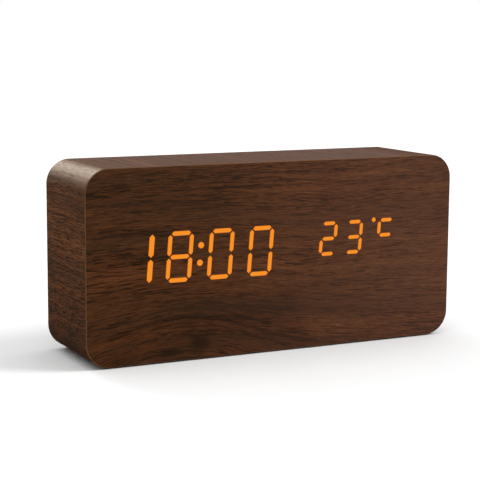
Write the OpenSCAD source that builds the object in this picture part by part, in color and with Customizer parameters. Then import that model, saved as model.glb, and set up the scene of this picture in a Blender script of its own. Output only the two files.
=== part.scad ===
// Digital alarm clock: a wood-grain case with a light-through-film display.
// Frame: +X to the right of the display, +Y to the back, +Z up, origin on the
// supporting surface under the middle of the case. Millimetres.

/* [Case] */
// Width of the finished case
case_w = 150; // [144:1:200]
// Height of the finished case, without its pads
case_h = 70; // [64:1:100]
// Depth of the finished case
case_d = 40; // [38:1:60]
// Radius of the four long edges
corner_r = 9; // [7:0.5:14]
// Thickness of the wood-grain film
film_t = 0.4; // [0.3:0.1:0.6]
// Softening of the film's outer edges, front and back
edge_soft = 0.25; // [0.1:0.05:0.3]
// Thickness of the front board
board_t = 3; // [2:0.5:5]
// Thickness of the case walls
wall_t = 6; // [5:0.5:7]
// Radius in the corners of the milled cavity
cavity_r = 15; // [13:1:17]
// Height of the pads under the case
pad_h = 0.5; // [0.4:0.1:2]
// Radius of a pad
pad_r = 4; // [3:0.5:6]

/* [Display] */
// The four digits of the time
shown_time = [1, 8, 0, 0];
// The two digits of the temperature
shown_temp = [2, 3];
// From the top of the case down to the top of the digits
digits_drop = 23.2; // [18:0.1:26]
// From the middle of the case to the colon, positive to the left
colon_offset = 31.5; // [28:0.1:33]
// Height of a time digit
time_h = 18.4; // [14:0.1:22]
// Width of a time digit
time_w = 10; // [8:0.1:11]
// Stroke of a time digit
time_stroke = 1.7; // [1.2:0.1:2]
// Stroke of the tens-of-hours digit
tens_stroke = 2.1; // [1.2:0.1:2.4]
// Height of the tens-of-hours digit
tens_h = 19.8; // [14:0.1:22]
// Distance between time digits
time_pitch = 16.1; // [14:0.1:16.5]
// Distance from the tens-of-hours digit to the next
tens_pitch = 15.1; // [14:0.1:16]
// Diameter of a colon dot
colon_d = 2.4; // [1.6:0.1:3]
// From the colon to the first temperature digit
temp_offset = 52.5; // [50:0.1:54]
// Height of a temperature digit
temp_h = 12.9; // [10:0.1:16]
// Width of a temperature digit
temp_w = 7.4; // [6:0.1:8.4]
// Stroke of a temperature digit
temp_stroke = 1.5; // [1.2:0.1:1.8]
// Distance between temperature digits
temp_pitch = 11; // [10:0.1:11.5]
// Distance from the last temperature digit to the unit sign
unit_pitch = 13.8; // [13.5:0.1:14.2]
// Diameter of the degree dot
degree_d = 1.8; // [1.2:0.1:2.2]
// Slant of the digits in degrees
digit_slant = 4.5; // [0:0.5:8]
// Gap from the end of a segment to the corner where two meet
segment_gap = 0.42; // [0.4:0.02:0.9]
// Depth of the light boxes behind the windows
light_box_d = 6; // [4:0.5:8]
// Thickness of the diffuser sheet
diffuser_t = 0.5; // [0.3:0.1:1]
// Thickness of the display's circuit board
display_pcb_t = 1.2; // [0.8:0.2:1.6]

/* [Rear panel] */
// Thickness of the rear panel
panel_t = 2.4; // [2:0.1:3]
// How far the panel sits below the rear edge
panel_recess = 1.2; // [1.1:0.1:3]
// Width of the lip round the panel, without the film
lip_t = 3; // [2:0.5:4]
// Gap round the panel
panel_gap = 0.2; // [0.1:0.1:0.5]
// Radius of the power plug's hole
inlet_r = 3.2; // [2.8:0.1:3.4]
// Radius of a button cap
button_r = 3; // [2.5:0.1:3.5]
// Distance between buttons
button_pitch = 13; // [10:0.5:14]
// Gap round a button cap
button_gap = 0.15; // [0.1:0.05:0.3]
// How far a button stands out of the panel
button_out = 0.8; // [0.6:0.1:1]
// How far a button travels
button_travel = 0.5; // [0.3:0.1:0.5]

/* [Battery box] */
// Number of cells
cell_count = 3; // [2, 3]
// Diameter of a cell
cell_d = 10.5; // [10:0.1:10.8]
// Length of a cell
cell_l = 44.5; // [40:0.5:46]
// Room for the springs and contacts at the two ends
contact_room = 7; // [6:0.5:8]
// Wall of the box
box_wall = 1.5; // [1.2:0.1:1.8]
// Ledge that the door rests on
door_ledge = 1.5; // [1:0.1:2]
// Thickness of the door
door_t = 1.6; // [1.2:0.1:2]
// Gap round the door
door_gap = 0.3; // [0.2:0.05:0.5]
// Width of the door's latch
latch_w = 10; // [8:1:14]
// Height of the latch above the door's top edge
latch_h = 4.2; // [3.5:0.1:5]
// Depth of the latch's loop into the box
latch_d = 6; // [5:0.5:7]

/* [Main board] */
// Width of the main circuit board
main_w = 56; // [54:1:58]
// Height of the main circuit board
main_h = 44; // [42:1:48]
// Thickness of the main circuit board
main_t = 1.6; // [1:0.2:2]
// Length of the spacers between panel and board
spacer_l = 8; // [8:0.5:10]

/* [Hidden] */
$fn = 48;
eps = 0.01;           // overlap of a cutter past the face that it opens

// Levels from front to back
front_y = -case_d / 2;
rear_y = case_d / 2;
board_y = front_y + film_t;
shell_y = board_y + board_t;
light_box_y = shell_y + diffuser_t;
display_pcb_y = light_box_y + light_box_d;
display_rear_y = display_pcb_y + display_pcb_t;
shell_rear_y = rear_y - film_t;
panel_rear_y = rear_y - panel_recess;
panel_y = panel_rear_y - panel_t;
main_rear_y = panel_y - spacer_l;
main_front_y = main_rear_y - main_t;

// Heights
base_z = pad_h;
top_z = base_z + case_h;
mid_z = base_z + case_h / 2;

// Outlines
core_w = case_w - 2 * film_t;
core_h = case_h - 2 * film_t;
core_r = corner_r - film_t;
cavity_w = core_w - 2 * wall_t;
cavity_h = core_h - 2 * wall_t;
recess_w = core_w - 2 * lip_t;
recess_h = core_h - 2 * lip_t;
recess_r = core_r - lip_t;
panel_w = recess_w - 2 * panel_gap;
panel_h = recess_h - 2 * panel_gap;
panel_r = recess_r - panel_gap;

// Screws: [head radius, head height, shank radius, length]
PANEL_SCREW = [2, 1, 1, 10];
DISPLAY_SCREW = [1.7, 1, 0.9, display_pcb_t + light_box_d + diffuser_t + 2.1];
BOARD_SCREW = [1.7, 1, 0.9, main_t + spacer_l + 1.2];
screw_gap = 0.2;      // round a shank where it passes through
panel_screw_in = 5.2; // from the panel's edges to a screw
pad_in = [17, 8];     // from the case's sides to a pad's middle

// Display
time_top_z = top_z - digits_drop;
time_z = time_top_z - time_h / 2;
temp_z = time_top_z - temp_h / 2;
tens_gap = 0.35;      // the tens digit's segments nearly meet
segment_tip = 0.12;   // a segment's end is this share of its stroke
colon_rise = 0.45;    // the colon's middle above the digits' middle
colon_spread = 6.3;   // from dot to dot
degree_shift = [-5.6, 0.3]; // from the unit's corner line to the degree dot
guide_fit = 0.05;     // round a light guide in its window
time_x = [
    -colon_offset - time_pitch / 2 - tens_pitch,
    -colon_offset - time_pitch / 2,
    -colon_offset + time_pitch / 2,
    -colon_offset + time_pitch * 3 / 2
];
temp_x = [-colon_offset + temp_offset, -colon_offset + temp_offset + temp_pitch];
unit_x = temp_x[1] + unit_pitch;

// Segments run between the six corners of a digit, in the order a to g
SEGMENT_ENDS = [[0, 1], [1, 3], [3, 5], [4, 5], [2, 4], [0, 2], [2, 3]];
LIT_SEGMENTS = [
    [0, 1, 2, 3, 4, 5], [1, 2], [0, 1, 3, 4, 6], [0, 1, 2, 3, 6], [1, 2, 5, 6],
    [0, 2, 3, 5, 6], [0, 2, 3, 4, 5, 6], [0, 1, 2], [0, 1, 2, 3, 4, 5, 6], [0, 1, 2, 3, 5, 6]
];

// Display board: it reaches this far past the digits
display_margin = [3.4, 4.2];
display_left = time_x[0] - time_w / 2 - display_margin[0];
display_right = unit_x + temp_w / 2 + display_margin[0];
display_h = time_h + 2 * display_margin[1];
time_box_right = time_x[3] + time_w / 2 + display_margin[0];
temp_box_left = temp_x[0] - temp_w / 2 - display_margin[0];
display_screw_in = 2.1;
peg_r = 0.8;

// Battery box: everything hangs on the inside of the bay
cell_gap = 0.6;
bay_w = cell_l + contact_room;
bay_h = cell_count * cell_d + (cell_count + 1) * cell_gap;
opening_w = bay_w + 2 * door_ledge;
opening_h = bay_h + 2 * door_ledge;
collar_w = opening_w + 2 * box_wall;
collar_h = opening_h + 2 * box_wall;
flange_in = 2;        // the flange's overlap behind the panel
flange_w = collar_w + 2 * flange_in;
flange_h = collar_h + 2 * flange_in;
flange_clear = 1;      // between the flange and the cavity's wall
box_x = -(cavity_w / 2 - 6.5 - flange_w / 2);
box_z = mid_z - 2;
door_w = opening_w - 2 * door_gap;
door_h = opening_h - 2 * door_gap;
door_y = panel_rear_y - door_t;
ledge_y = door_y - 0.1;
cell_y = ledge_y - 0.5 - cell_d / 2;
floor_y = cell_y - cell_d / 2 - 0.2;
box_y = floor_y - box_wall;
door_bottom_z = box_z - door_h / 2;
door_top_z = box_z + door_h / 2;
latch_gap = 0.6;
latch_t = 0.9;
latch_reach = door_h + latch_h; // from the door's lower edge, on which it swings
latch_rise = norm([latch_reach, door_t + latch_d]) - latch_reach;
pocket_w = latch_w + 2 * latch_gap;
pocket_h = latch_h + latch_rise + latch_gap;
pocket_y = door_y - latch_d - latch_gap;
tab_w = 6;
tab_x = door_w / 2 - 11;
tab_t = 1;
tab_drop = 1.5;       // the tab's reach below the door's edge
tab_y = door_y - 0.9; // the face of the tab that holds the door in

// Main board, as seen from behind: positions from its middle
main_x = cavity_w / 2 - 5.6 - main_w / 2;
main_z = mid_z;
spacer_r = 2.5;
spacer_in = 3.2;
BUTTONS = [button_pitch, 0, -button_pitch];
button_at = [2, 14];
jack_at = [17, -15];
buzzer_at = [2, -11];
mic_at = [-12, -13];
switch_h = 3.5;
plunger_r = 1.75;
plunger_in = 0.9;     // the plunger's length inside the switch
plunger_out = 1.3;
cap_y = main_rear_y + switch_h + plunger_out;
cap_flange_t = 1;
cap_flange_gap = 0.3;
jack_w = 7;
jack_bore_r = 1.75;
jack_pin_r = 0.65;
jack_l = spacer_l - 0.3;
mark_depth = 0.3;     // of the signs cut into the panel
mark_drop = 7;        // from a button down to its sign
vent_at = [-22, -2];

// ---- shared shapes ----

// A flat outline in X and Z, made solid from y0 to y1
module slab(y0, y1) {
    translate([0, y1, 0]) rotate([90, 0, 0]) linear_extrude(y1 - y0) children();
}

// A rectangle with round corners, centred on the origin
module rounded(w, h, r) {
    square([w, h - 2 * r], center = true);
    square([w - 2 * r, h], center = true);
    for (x = [-1, 1], z = [-1, 1]) translate([x * (w / 2 - r), z * (h / 2 - r)]) circle(r);
}

// A round bar along Y from y0 to y1 at x, z
module bar(x, z, r, y0, y1) {
    translate([x, y0, z]) rotate([-90, 0, 0]) cylinder(r = r, h = y1 - y0);
}

// A box from y0 to y1, centred at x, z
module block(x, z, w, h, y0, y1) {
    translate([x - w / 2, y0, z - h / 2]) cube([w, y1 - y0, h]);
}

// A cross-head screw with its head's underside at the origin and its shank along -Y
module screw(size) {
    slot = [size[0] * 1.3, size[1] * 0.6, size[0] * 0.3];
    difference() {
        union() {
            bar(0, 0, size[0], 0, size[1] * 0.6);
            translate([0, size[1] * 0.6, 0]) rotate([-90, 0, 0])
                cylinder(r1 = size[0], r2 = size[0] * 0.7, h = size[1] * 0.4);
            bar(0, 0, size[2], -size[3] + size[2], eps);
            translate([0, -size[3] + size[2], 0]) rotate([90, 0, 0])
                cylinder(r1 = size[2], r2 = 0.1, h = size[2]);
        }
        block(0, 0, slot[0], slot[2], size[1] - slot[1], size[1] + eps);
        block(0, 0, slot[2], slot[0], size[1] - slot[1], size[1] + eps);
    }
}

// A tube with 8 sides along a list of points, with the direction at each point
module tube(path, dirs, r, side) {
    n = len(path);
    sides = 8;
    rings = [for (i = [0:n - 1])
        let (c = cross(dirs[i], side), u = c / norm(c), v = cross(dirs[i], u))
        for (k = [0:sides - 1]) path[i] + r * (u * cos(360 * k / sides) + v * sin(360 * k / sides))];
    polyhedron(
        points = rings,
        faces = concat(
            [[for (k = [0:sides - 1]) k]],
            [for (i = [0:n - 2], k = [0:sides - 1])
                [i * sides + k, (i + 1) * sides + k,
                 (i + 1) * sides + (k + 1) % sides, i * sides + (k + 1) % sides]],
            [[for (k = [sides - 1:-1:0]) (n - 1) * sides + k]]
        )
    );
}

// ---- the digits' segments ----

function slanted(p) = [p[0] + p[1] * tan(digit_slant), p[1]];

// The six corners where the middle lines of a digit's segments meet
function corners(w, h) =
    [[-w / 2, h / 2], [w / 2, h / 2], [-w / 2, 0], [w / 2, 0], [-w / 2, -h / 2], [w / 2, -h / 2]];

// A bar with bevelled ends from a to b, stopping short of both by the gap
function segment(a, b, stroke, gap) =
    let (u = (b - a) / norm(b - a), n = [-u[1], u[0]], h = stroke / 2, tip = h * segment_tip,
        k = h - tip, s = a + u * gap, e = b - u * gap)
    [for (p = [s + n * tip, s + u * k + n * h, e - u * k + n * h, e + n * tip,
        e - n * tip, e - u * k - n * h, s + u * k - n * h, s - n * tip]) slanted(p)];

function is_lit(s, digit) = len(search(s, LIT_SEGMENTS[digit])) > 0;

// Each segment is [middle of the digit, its two ends, stroke, gap, lit]
function digit_segments(x, z, w, h, stroke, gap, digit) =
    let (c = corners(w - stroke, h - stroke))
    [for (s = [0:6]) [[x, z], c[SEGMENT_ENDS[s][0]], c[SEGMENT_ENDS[s][1]], stroke, gap,
        is_lit(s, digit)]];

TIME_SEGMENTS = [for (i = [0:3]) each i == 0
    ? digit_segments(time_x[i], time_z, time_w, tens_h, tens_stroke, tens_gap, shown_time[i])
    : digit_segments(time_x[i], time_z, time_w, time_h, time_stroke, segment_gap, shown_time[i])];
TEMP_SEGMENTS = [for (i = [0:1]) each digit_segments(temp_x[i], temp_z, temp_w, temp_h,
    temp_stroke, segment_gap, shown_temp[i])];
// The unit sign is the upper half of a digit, as a square C
unit_corners = corners(temp_w - temp_stroke, temp_h - temp_stroke);
UNIT_SEGMENTS = [for (ends = [[0, 1], [0, 2], [2, 3]]) [[unit_x, temp_z],
    unit_corners[ends[0]], unit_corners[ends[1]], temp_stroke, segment_gap, true]];

// [place of the dot's middle, radius]
COLON_DOTS = [for (side = [-1, 1])
    [[-colon_offset, time_z] + slanted([0, colon_rise + side * colon_spread / 2]), colon_d / 2]];
DEGREE_DOTS = [[[unit_x, temp_z] + slanted([degree_shift[0],
    (temp_h - temp_stroke) / 2 + degree_shift[1]]), degree_d / 2]];

// Segments and dots as bars from y0 to y1, grown by a margin
module segment_bars(list, y0, y1, lit_only = false, grow = 0) {
    for (q = list) if (!lit_only || q[5])
        translate([q[0][0], 0, q[0][1]]) slab(y0, y1)
            polygon(segment(q[1], q[2], q[3] + 2 * grow, q[4] - grow));
}

module dot_bars(list, y0, y1, grow = 0) {
    for (q = list) bar(q[0][0], q[0][1], q[1] + grow, y0, y1);
}

module time_bars(y0, y1, grow = 0) {
    segment_bars(TIME_SEGMENTS, y0, y1, false, grow);
    dot_bars(COLON_DOTS, y0, y1, grow);
}

module temp_bars(y0, y1, grow = 0) {
    segment_bars(TEMP_SEGMENTS, y0, y1, false, grow);
    segment_bars(UNIT_SEGMENTS, y0, y1, false, grow);
    dot_bars(DEGREE_DOTS, y0, y1, grow);
}

// ---- places that repeat ----

module at_panel_screws() {
    for (x = [-1, 1], z = [-1, 1])
        translate([x * (panel_w / 2 - panel_screw_in), panel_rear_y,
            mid_z + z * (panel_h / 2 - panel_screw_in)]) children();
}

module at_display_screws() {
    for (x = [display_left + display_screw_in, display_right - display_screw_in], z = [-1, 1])
        translate([x, display_rear_y, time_z + z * (display_h / 2 - display_screw_in)]) children();
}

module at_spacers() {
    for (x = [-1, 1], z = [-1, 1])
        translate([main_x + x * (main_w / 2 - spacer_in), 0,
            main_z + z * (main_h / 2 - spacer_in)]) children();
}

module at_button(i) {
    translate([main_x + button_at[0] + BUTTONS[i], 0, main_z + button_at[1]]) children();
}

// ---- case ----

module case_shell() {
    color("BurlyWood") difference() {
        translate([0, 0, mid_z]) slab(shell_y, shell_rear_y) rounded(core_w, core_h, core_r);
        translate([0, 0, mid_z]) slab(shell_y - eps, shell_rear_y)
            rounded(cavity_w, cavity_h, cavity_r);
        translate([0, 0, mid_z]) slab(panel_y, shell_rear_y + eps)
            rounded(recess_w, recess_h, recess_r);
        at_panel_screws() bar(0, 0, PANEL_SCREW[2], -PANEL_SCREW[3] - 1, 0);
    }
}

module front_board() {
    color("BurlyWood") difference() {
        translate([0, 0, mid_z]) slab(board_y, shell_y) rounded(core_w, core_h, core_r);
        time_bars(board_y - eps, shell_y + eps);
        temp_bars(board_y - eps, shell_y + eps);
        at_display_screws() bar(0, 0, DISPLAY_SCREW[2], -DISPLAY_SCREW[3], 0);
    }
}

// The film on an end of the case, softened along its outer edge
module end_film(outer_y, inner_y) {
    side = sign(inner_y - outer_y);
    edge_y = outer_y + side * edge_soft;
    translate([0, 0, mid_z]) hull() {
        slab(min(edge_y, inner_y), max(edge_y, inner_y)) rounded(case_w, case_h, corner_r, $fn = 96);
        slab(min(outer_y, edge_y), max(outer_y, edge_y))
            rounded(case_w - 2 * edge_soft, case_h - 2 * edge_soft, corner_r - edge_soft, $fn = 96);
    }
}

module front_veneer() {
    color([0.26, 0.13, 0.07]) difference() {
        end_film(front_y, board_y);
        segment_bars(TIME_SEGMENTS, front_y - eps, board_y + eps, true);
        segment_bars(TEMP_SEGMENTS, front_y - eps, board_y + eps, true);
        segment_bars(UNIT_SEGMENTS, front_y - eps, board_y + eps, true);
        dot_bars(COLON_DOTS, front_y - eps, board_y + eps);
        dot_bars(DEGREE_DOTS, front_y - eps, board_y + eps);
    }
}

module side_veneer() {
    color([0.30, 0.16, 0.09]) translate([0, 0, mid_z]) slab(board_y, shell_rear_y) difference() {
        rounded(case_w, case_h, corner_r);
        rounded(core_w, core_h, core_r);
    }
}

module rear_veneer() {
    color([0.26, 0.13, 0.07]) difference() {
        end_film(rear_y, shell_rear_y);
        translate([0, 0, mid_z]) slab(shell_rear_y - eps, rear_y + eps)
            rounded(recess_w, recess_h, recess_r);
    }
}

module base_pads() {
    color([0.06, 0.06, 0.06]) for (x = [-1, 1], y = [-1, 1])
        translate([x * (case_w / 2 - pad_in[0]), y * (case_d / 2 - pad_in[1]), 0])
            cylinder(r = pad_r, h = pad_h);
}

// ---- display ----

module time_digits_lit() {
    color("orange") segment_bars(TIME_SEGMENTS, front_y, board_y, true);
}

module colon_lit() {
    color("orange") dot_bars(COLON_DOTS, front_y, board_y);
}

module temperature_digits_lit() {
    color("orange") segment_bars(TEMP_SEGMENTS, front_y, board_y, true);
}

module degree_c_lit() {
    color("orange") {
        segment_bars(UNIT_SEGMENTS, front_y, board_y, true);
        dot_bars(DEGREE_DOTS, front_y, board_y);
    }
}

module time_light_guides() {
    color([0.95, 0.93, 0.86]) time_bars(board_y, shell_y, -guide_fit);
}

module temperature_light_guides() {
    color([0.95, 0.93, 0.86]) temp_bars(board_y, shell_y, -guide_fit);
}

// A plate as wide and high as the display, pierced for its screws
module display_plate(left, right, y0, y1) {
    difference() {
        block((left + right) / 2, time_z, right - left, display_h, y0, y1);
        at_display_screws() bar(0, 0, DISPLAY_SCREW[2] + screw_gap, -DISPLAY_SCREW[3], 1);
    }
}

module diffuser_sheet() {
    color([0.97, 0.97, 0.95]) display_plate(display_left, display_right, shell_y, light_box_y);
}

// A light box with two pegs that reach through the board behind it
module light_box(left, right) {
    display_plate(left, right, light_box_y, display_pcb_y);
    peg_at(left, right) bar(0, 0, peg_r, display_pcb_y - eps, display_rear_y);
}

module peg_at(left, right) {
    for (z = [-1, 1]) translate([(left + right) / 2, 0,
        time_z + z * (display_h / 2 - display_screw_in)]) children();
}

module time_light_box() {
    color([0.93, 0.93, 0.92]) difference() {
        light_box(display_left, time_box_right);
        time_bars(light_box_y - eps, display_pcb_y + eps);
    }
}

module temperature_light_box() {
    color([0.93, 0.93, 0.92]) difference() {
        light_box(temp_box_left, display_right);
        temp_bars(light_box_y - eps, display_pcb_y + eps);
    }
}

module display_board() {
    color([0.05, 0.30, 0.16]) difference() {
        display_plate(display_left, display_right, display_pcb_y, display_rear_y);
        for (span = [[display_left, time_box_right], [temp_box_left, display_right]])
            peg_at(span[0], span[1]) bar(0, 0, peg_r, display_pcb_y - 1, display_rear_y + 1);
    }
}

LED_SIZE = [1.6, 0.6, 0.8];

// One light-emitting diode under the middle of every segment and dot
module display_leds() {
    color([0.95, 0.85, 0.45]) {
        for (q = concat(TIME_SEGMENTS, TEMP_SEGMENTS, UNIT_SEGMENTS)) {
            middle = slanted((q[1] + q[2]) / 2);
            along = slanted(q[2]) - slanted(q[1]);
            translate([q[0][0] + middle[0], 0, q[0][1] + middle[1]])
                rotate([0, -atan2(along[1], along[0]), 0])
                    block(0, 0, LED_SIZE[0], LED_SIZE[2], display_pcb_y - LED_SIZE[1], display_pcb_y);
        }
        for (q = concat(COLON_DOTS, DEGREE_DOTS))
            block(q[0][0], q[0][1], LED_SIZE[2], LED_SIZE[2], display_pcb_y - LED_SIZE[1],
                display_pcb_y);
    }
}

// Chips have flat bodies and two rows of bent pins; size is [length, width, height]
module chip_body(x, z, size, y, side) {
    block(x, z, size[0], size[1], min(y + side * 0.1, y + side * size[2]),
        max(y + side * 0.1, y + side * size[2]));
}

module chip_pins(x, z, size, y, side, per_row) {
    pitch = size[0] / per_row;
    for (i = [0:per_row - 1], row = [-1, 1])
        block(x - size[0] / 2 + pitch * (i + 0.5), z + row * (size[1] / 2 + 0.6), pitch * 0.35, 1.2,
            min(y, y + side * 0.25), max(y, y + side * 0.25));
    for (i = [0:per_row - 1], row = [-1, 1])
        block(x - size[0] / 2 + pitch * (i + 0.5), z + row * (size[1] / 2 + 0.15), pitch * 0.35, 0.3,
            min(y, y + side * size[2] / 2), max(y, y + side * size[2] / 2));
}

DRIVER = [10, 4, 1.8];
driver_x = [time_x[1], time_x[3]];

module display_drivers() {
    color([0.08, 0.08, 0.09]) for (x = driver_x) chip_body(x, time_z, DRIVER, display_rear_y, 1);
}

module display_driver_pins() {
    color("silver") for (x = driver_x) chip_pins(x, time_z, DRIVER, display_rear_y, 1, 8);
}

SOCKET = [12, 3.6, 4];
socket_x = main_x - main_w / 2 + 12;
display_socket_z = time_z;
main_socket_z = main_z + main_h / 2 - 8;

module display_socket() {
    color([0.90, 0.88, 0.80])
        block(socket_x, display_socket_z, SOCKET[0], SOCKET[1], display_rear_y,
            display_rear_y + SOCKET[2]);
}

module display_screws() {
    color("silver") at_display_screws() screw(DISPLAY_SCREW);
}

// ---- rear panel ----

// The battery box's frame in the panel, with the latch's pocket on top
module collar(y0, y1) {
    block(box_x, box_z, collar_w, collar_h, y0, y1);
    pocket_block(pocket_w + 2 * box_wall, pocket_h + box_wall, y0, y1);
}

// A block that stands on the door's top edge
module pocket_block(w, h, y0, y1) {
    block(box_x, door_top_z + h / 2, w, h, y0, y1);
}

// Signs cut below the buttons: a ring, an upward and a downward triangle
module button_signs(y0, y1) {
    at_button(0) translate([0, 0, -mark_drop]) difference() {
        bar(0, 0, 1.4, y0, y1);
        bar(0, 0, 0.9, y0, y1);
    }
    for (i = [1, 2]) at_button(i) translate([0, 0, -mark_drop]) slab(y0, y1)
        mirror([0, i - 1]) polygon([[-1.5, -1.1], [1.5, -1.1], [0, 1.4]]);
}

module rear_panel() {
    color([0.24, 0.12, 0.07]) difference() {
        translate([0, 0, mid_z]) slab(panel_y, panel_rear_y) rounded(panel_w, panel_h, panel_r);
        collar(panel_y - eps, panel_rear_y + eps);
        button_signs(panel_rear_y - mark_depth, panel_rear_y + eps);
        at_panel_screws() bar(0, 0, PANEL_SCREW[2] + screw_gap, -panel_t - eps, eps);
        for (i = [0:2]) at_button(i)
            bar(0, 0, button_r + button_gap, panel_y - eps, panel_rear_y + eps);
        translate([main_x, 0, main_z]) {
            bar(jack_at[0], jack_at[1], inlet_r, panel_y - eps, panel_rear_y + eps);
            bar(mic_at[0], mic_at[1], 1.2, panel_y - eps, panel_rear_y + eps);
            bar(buzzer_at[0], buzzer_at[1], 0.8, panel_y - eps, panel_rear_y + eps);
            for (k = [0:5]) bar(buzzer_at[0] + 3 * cos(60 * k), buzzer_at[1] + 3 * sin(60 * k),
                0.8, panel_y - eps, panel_rear_y + eps);
            for (k = [-1.5:1.5]) block(vent_at[0], vent_at[1] + 2.4 * k, 7, 1,
                panel_y - eps, panel_rear_y + eps);
        }
        at_spacers() bar(0, 0, BOARD_SCREW[2], panel_y - eps, main_front_y + BOARD_SCREW[3] + 0.2);
    }
}

module panel_screws() {
    color([0.15, 0.15, 0.16]) at_panel_screws() screw(PANEL_SCREW);
}

// ---- battery box ----

module battery_box() {
    color([0.07, 0.07, 0.08]) {
        difference() {
            union() {
                block(box_x, box_z, bay_w + 2 * box_wall, bay_h + 2 * box_wall, box_y, ledge_y);
                flange(panel_y - box_wall, panel_y);
                collar(panel_y - eps, panel_rear_y);
                pocket_block(pocket_w + 2 * box_wall, pocket_h + box_wall, pocket_y - box_wall,
                    panel_y);
            }
            block(box_x, box_z, bay_w, bay_h, floor_y, panel_rear_y + eps);
            block(box_x, box_z, opening_w, opening_h, ledge_y, panel_rear_y + eps);
            latch_pocket();
            for (side = [-1, 1]) tab_slot(box_x + side * tab_x);
            for (i = [0:cell_count - 1]) polarity_marks(i);
        }
        for (i = [1:cell_count - 1]) rib(cell_z(i) - (cell_d + cell_gap) / 2);
    }
}

// The rim that bears on the panel's inside, kept clear of the cavity's wall
module flange(y0, y1) {
    intersection() {
        block(box_x, box_z, flange_w, flange_h, y0, y1);
        translate([0, 0, mid_z]) slab(y0 - eps, y1 + eps)
            rounded(cavity_w - 2 * flange_clear, cavity_h - 2 * flange_clear,
                cavity_r - flange_clear);
    }
}

// A low rib along the floor between two cells
module rib(z) {
    block(box_x, z, cell_l * 0.7, 0.8, floor_y - eps, floor_y + 1.6);
}

// Room for the latch, open to the back and to the bay below it
module latch_pocket() {
    pocket_block(pocket_w, pocket_h, pocket_y, panel_rear_y + eps);
    block(box_x, door_top_z - door_ledge, pocket_w, 2 * door_ledge + eps, pocket_y,
        panel_rear_y + eps);
}

// The slot behind the collar that a tab turns in
module tab_slot(x) {
    low_z = door_bottom_z - tab_drop - door_gap;
    high_z = box_z - bay_h / 2 + eps;
    back_y = tab_y - tab_t - 0.6;
    block(x, (low_z + high_z) / 2, tab_w + 2 * door_gap, high_z - low_z, back_y, tab_y + 0.2);
    block(x, (door_bottom_z + high_z) / 2, tab_w + 2 * door_gap, high_z - door_bottom_z, back_y,
        ledge_y + eps);
}

// A plus and a minus cut into the floor at the ends of a cell
module polarity_marks(i) {
    for (side = [-1, 1]) translate([box_x + side * cell_l * 0.42, 0, cell_z(i)]) {
        block(0, 0, 3, 0.7, floor_y - 0.4, floor_y + eps);
        if (side == cell_side(i)) block(0, 0, 0.7, 3, floor_y - 0.4, floor_y + eps);
    }
}

function cell_z(i) = box_z + (i - (cell_count - 1) / 2) * (cell_d + cell_gap);

// The end of the cell with the plus contact: they alternate
function cell_side(i) = i % 2 == 0 ? 1 : -1;

cap_l = 1;            // length of the plus contact's nub
cap_r = 1.9;
plate_t = 0.4;

module battery_door() {
    color([0.08, 0.08, 0.09]) translate([box_x, 0, 0]) {
        translate([0, 0, box_z]) slab(door_y, panel_rear_y) rounded(door_w, door_h, 1);
        for (k = [0:3]) block(0, door_top_z - 4 - 1.6 * k, 14, 0.8, panel_rear_y - eps,
            panel_rear_y + 0.4);
        latch();
        for (side = [-1, 1]) tab(side * tab_x);
    }
}

// A springy loop that a fingertip pushes down to free the door
module latch() {
    root_z = door_top_z - latch_t;
    tip_z = door_top_z + latch_h;
    back_y = door_y - latch_d;
    block(0, root_z + latch_t / 2, latch_w, latch_t, back_y, door_y + eps);
    block(0, (root_z + tip_z) / 2, latch_w, tip_z - root_z, back_y, back_y + latch_t);
    block(0, tip_z - latch_t / 2, latch_w, latch_t, back_y, panel_rear_y - 0.3);
    block(0, tip_z - latch_t, latch_w, 2 * latch_t, panel_rear_y - 0.3 - latch_t,
        panel_rear_y - 0.3);
}

// A hook that holds the door's lower edge behind the collar
module tab(x) {
    block(x, door_bottom_z + 1.1, tab_w, 1.6, tab_y - tab_t, door_y + eps);
    block(x, door_bottom_z + (1.9 - tab_drop) / 2, tab_w, 1.9 + tab_drop, tab_y - tab_t, tab_y);
}

module battery_cell(i) {
    body_l = cell_l - cap_l;
    color([0.75, 0.55, 0.15]) translate([box_x, cell_y, cell_z(i)]) rotate([0, 90 * cell_side(i), 0])
        translate([0, 0, -cell_l / 2]) {
            cylinder(r = cell_d / 2, h = body_l);
            translate([0, 0, body_l - eps]) cylinder(r = cap_r, h = cap_l + eps);
        }
}

// Where the plus end's plate and the minus end's spring stand, from the bay's middle
plate_x = bay_w / 2 - plate_t - 0.3;

// A conical coil for the minus end of each cell
module battery_springs() {
    turns = 4;
    steps = turns * 16;
    wire_r = 0.28;
    length = plate_x - cell_l / 2 - 2 * wire_r - 0.04;
    color("silver") for (i = [0:cell_count - 1]) {
        path = [for (k = [0:steps]) let (t = k / steps, r = 3.6 - 1.2 * t, a = 360 * turns * t)
            [cell_side(i) * length * t, r * cos(a), r * sin(a)]];
        dirs = [for (k = [0:steps]) let (d = path[min(k + 1, steps)] - path[max(k - 1, 0)])
            d / norm(d)];
        translate([box_x - cell_side(i) * (plate_x - wire_r - 0.02), cell_y, cell_z(i)])
            tube(path, dirs, wire_r, [1, 0, 0]);
    }
}

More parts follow.
